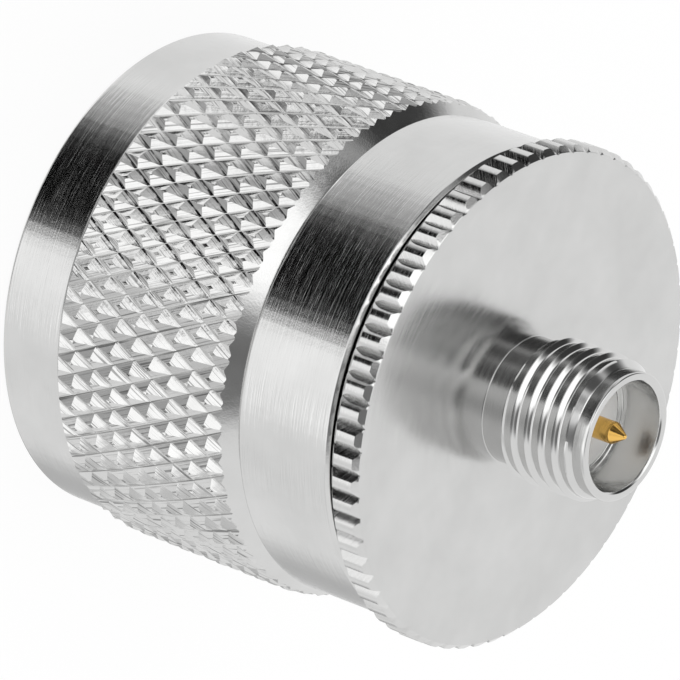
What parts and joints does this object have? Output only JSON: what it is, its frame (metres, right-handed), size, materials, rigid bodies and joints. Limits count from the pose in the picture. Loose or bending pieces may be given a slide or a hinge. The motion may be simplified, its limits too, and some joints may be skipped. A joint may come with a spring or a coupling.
{
  "type": "coaxial adapter",
  "caption": "Straight coaxial adapter: a plug with a knurled free-spinning coupling nut at one end and a small threaded jack with a centre pin at the other, joined by a notched flange.",
  "frame": {"origin": "centre of the coupling nut's mouth, on the plane that it stands on", "axes": "+Z along the common axis, from the nut's mouth towards the jack"},
  "size_m": [0.0218, 0.0218, 0.0248],
  "materials": {
    "nickel_nut": "bright nickel plate over turned and knurled brass",
    "nickel_body": "satin nickel plate over turned brass",
    "nickel_contact": "bright nickel plate over turned brass",
    "spring_steel": "plain spring steel",
    "seal_rubber": "moulded silicone rubber",
    "insulator_white": "turned white fluoropolymer",
    "gold_contact": "gold plate over turned brass"
  },
  "bodies": {
    "adapter": {"adapter_body": "nickel_body", "outer_contact": "nickel_contact", "snap_ring": "spring_steel", "seal": "seal_rubber", "plug_insulator": "insulator_white", "jack_insulator": "insulator_white", "centre_contact": "gold_contact"},
    "nut": {"coupling_nut": "nickel_nut"}
  },
  "joints": [
    {"name": "nut_spin", "type": "hinge", "parent": "adapter", "child": "nut", "pos_m": [0, 0, 0.0166], "axis": [0, 0, 1], "continuous": true}
  ]
}
